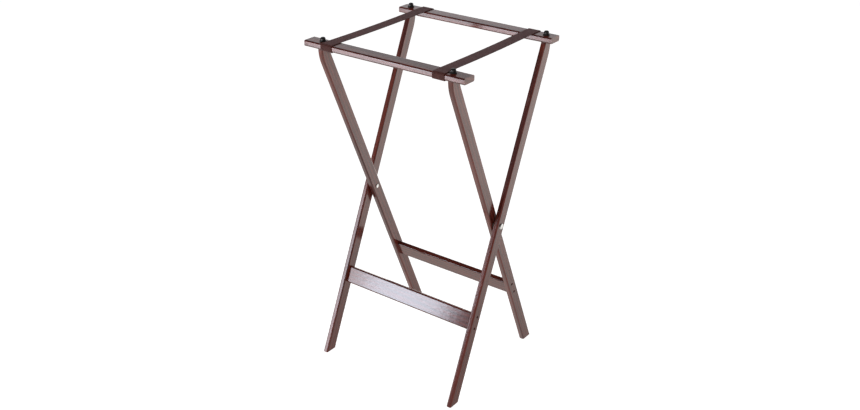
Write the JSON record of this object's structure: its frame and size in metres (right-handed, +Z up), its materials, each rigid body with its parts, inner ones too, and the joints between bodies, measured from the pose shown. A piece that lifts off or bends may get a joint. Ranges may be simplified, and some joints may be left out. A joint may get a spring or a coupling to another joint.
{
  "type": "folding luggage rack",
  "caption": "Tall folding wooden luggage rack with crossed legs, round rubber bumpers on the top rails and two webbing straps.",
  "frame": {"origin": "on the floor, in the middle of the four feet of the open rack", "axes": "+X along the rails to the right, -Y to the front, where the rail of the inner frame is, +Z up"},
  "size_m": [0.415, 0.37, 0.7964],
  "materials": {
    "lacquered_wood": "satin dark mahogany lacquer",
    "strap_webbing": "flat woven webbing, dark brown maroon",
    "bumper_rubber": "moulded black rubber",
    "screw_steel": "black oxide",
    "tack_steel": "plain steel",
    "rivet_steel": "bright nickel plate",
    "washer_nylon": "black nylon"
  },
  "bodies": {
    "outer_frame": {"rear_rail": "lacquered_wood", "left_outer_leg": "lacquered_wood", "right_outer_leg": "lacquered_wood", "front_stretcher": "lacquered_wood", "left_strap": "strap_webbing", "right_strap": "strap_webbing", "left_rear_bumper": "bumper_rubber", "right_rear_bumper": "bumper_rubber", "left_rear_rail_screw": "screw_steel", "right_rear_rail_screw": "screw_steel", "left_front_stretcher_screws": "screw_steel", "right_front_stretcher_screws": "screw_steel", "left_rear_strap_tacks": "tack_steel", "right_rear_strap_tacks": "tack_steel", "left_pivot_rivet": "rivet_steel", "right_pivot_rivet": "rivet_steel", "left_pivot_collar": "rivet_steel", "right_pivot_collar": "rivet_steel", "left_pivot_washer": "washer_nylon", "right_pivot_washer": "washer_nylon"},
    "inner_frame": {"front_rail": "lacquered_wood", "left_inner_leg": "lacquered_wood", "right_inner_leg": "lacquered_wood", "rear_stretcher": "lacquered_wood", "left_rear_stretcher_screws": "screw_steel", "right_rear_stretcher_screws": "screw_steel", "left_front_rail_screw": "screw_steel", "right_front_rail_screw": "screw_steel", "left_front_bumper": "bumper_rubber", "right_front_bumper": "bumper_rubber", "left_front_strap_tacks": "tack_steel", "right_front_strap_tacks": "tack_steel"}
  },
  "joints": [
    {"name": "fold", "type": "hinge", "parent": "outer_frame", "child": "inner_frame", "pos_m": [0, 0, 0.38735], "axis": [-1, 0, 0], "range_deg": [0, 39.5], "deforming": ["left_strap", "right_strap"]}
  ]
}
